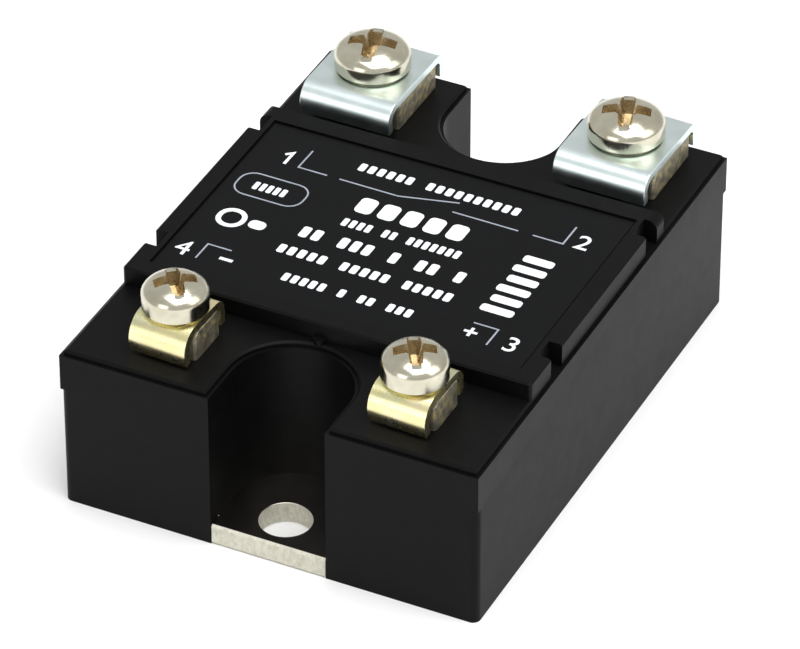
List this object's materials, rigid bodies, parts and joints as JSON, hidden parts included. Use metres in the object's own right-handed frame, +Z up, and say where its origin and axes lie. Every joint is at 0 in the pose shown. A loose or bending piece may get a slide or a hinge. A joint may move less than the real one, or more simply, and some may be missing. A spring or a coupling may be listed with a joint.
{
  "type": "solid state relay",
  "caption": "Flat rectangular panel-mount solid state relay with a metal base plate, a screw bay at each end, and saddle-clamp screw terminals on its deck.",
  "frame": {"origin": "middle of the base plate's underside", "axes": "+Z up out of the deck, X across the width, +Y from the input end (terminals 3 and 4) to the output end (terminals 1 and 2)"},
  "size_m": [0.0446, 0.0584, 0.0255],
  "materials": {
    "nickel_plate": "bead-blasted nickel plate, satin",
    "black_moulding": "fine spark-eroded moulding texture",
    "label_print": "satin film with plain white bars",
    "solder": "dull",
    "alumina": "smooth ceramic",
    "copper": "satin copper",
    "silicon": "polished",
    "tinned_pin": "bright tin",
    "circuit_board": "solder mask",
    "black_component": "moulded epoxy",
    "capacitor_case": "moulded box",
    "resistor_body": "lacquered",
    "potting": "cast compound",
    "terminal_brass": "sheared, dull",
    "nickel_clamp": "bright nickel",
    "yellow_clamp": "yellow passivated zinc",
    "nickel_screw": "bright nickel"
  },
  "bodies": {
    "relay_body": {"base_plate": "nickel_plate", "housing": "black_moulding", "lid": "black_moulding", "label": "label_print", "solder_layer": "solder", "ceramic_substrate": "alumina", "copper_tracks": "copper", "thyristor_chip_1": "silicon", "thyristor_chip_2": "silicon", "chip_strap_1": "copper", "chip_strap_2": "copper", "gate_pins": "tinned_pin", "snubber_pins": "tinned_pin", "control_board": "circuit_board", "optocoupler": "black_component", "optocoupler_leads": "tinned_pin", "snubber_capacitor": "capacitor_case", "snubber_resistor": "resistor_body", "gate_resistors": "resistor_body", "input_resistor": "resistor_body", "input_diode": "black_component", "input_transistor": "black_component", "potting_compound": "potting", "output_terminal_1": "terminal_brass", "output_terminal_2": "terminal_brass", "input_terminal_3": "terminal_brass", "input_terminal_4": "terminal_brass"},
    "clamp_1": {"output_clamp_1": "nickel_clamp"},
    "screw_1": {"output_screw_1": "nickel_screw"},
    "clamp_2": {"output_clamp_2": "nickel_clamp"},
    "screw_2": {"output_screw_2": "nickel_screw"},
    "clamp_3": {"input_clamp_3": "yellow_clamp"},
    "screw_3": {"input_screw_3": "nickel_screw"},
    "clamp_4": {"input_clamp_4": "yellow_clamp"},
    "screw_4": {"input_screw_4": "nickel_screw"}
  },
  "joints": [
    {"name": "clamp_1_lift", "type": "slide", "parent": "relay_body", "child": "clamp_1", "axis": [0, 0, 1], "range_m": [0, 0.0028]},
    {"name": "screw_1_turn", "type": "hinge", "parent": "clamp_1", "child": "screw_1", "pos_m": [-0.01405, 0.0225, 0.0219], "axis": [0, 0, 1], "range_deg": [0, 1440]},
    {"name": "clamp_2_lift", "type": "slide", "parent": "relay_body", "child": "clamp_2", "axis": [0, 0, 1], "range_m": [0, 0.0028]},
    {"name": "screw_2_turn", "type": "hinge", "parent": "clamp_2", "child": "screw_2", "pos_m": [0.01405, 0.0225, 0.0219], "axis": [0, 0, 1], "range_deg": [0, 1440]},
    {"name": "clamp_3_lift", "type": "slide", "parent": "relay_body", "child": "clamp_3", "axis": [0, 0, 1], "range_m": [0, 0.0024]},
    {"name": "screw_3_turn", "type": "hinge", "parent": "clamp_3", "child": "screw_3", "pos_m": [0.0127, -0.0231, 0.02205], "axis": [0, 0, 1], "range_deg": [0, 1440]},
    {"name": "clamp_4_lift", "type": "slide", "parent": "relay_body", "child": "clamp_4", "axis": [0, 0, 1], "range_m": [0, 0.0024]},
    {"name": "screw_4_turn", "type": "hinge", "parent": "clamp_4", "child": "screw_4", "pos_m": [-0.0127, -0.0231, 0.02205], "axis": [0, 0, 1], "range_deg": [0, 1440]}
  ],
  "couplings": [
    {"joint": "screw_1_turn", "follows": "clamp_1_lift", "rad_per_m": 8976},
    {"joint": "screw_2_turn", "follows": "clamp_2_lift", "rad_per_m": 8976},
    {"joint": "screw_3_turn", "follows": "clamp_3_lift", "rad_per_m": 10472},
    {"joint": "screw_4_turn", "follows": "clamp_4_lift", "rad_per_m": 10472}
  ]
}
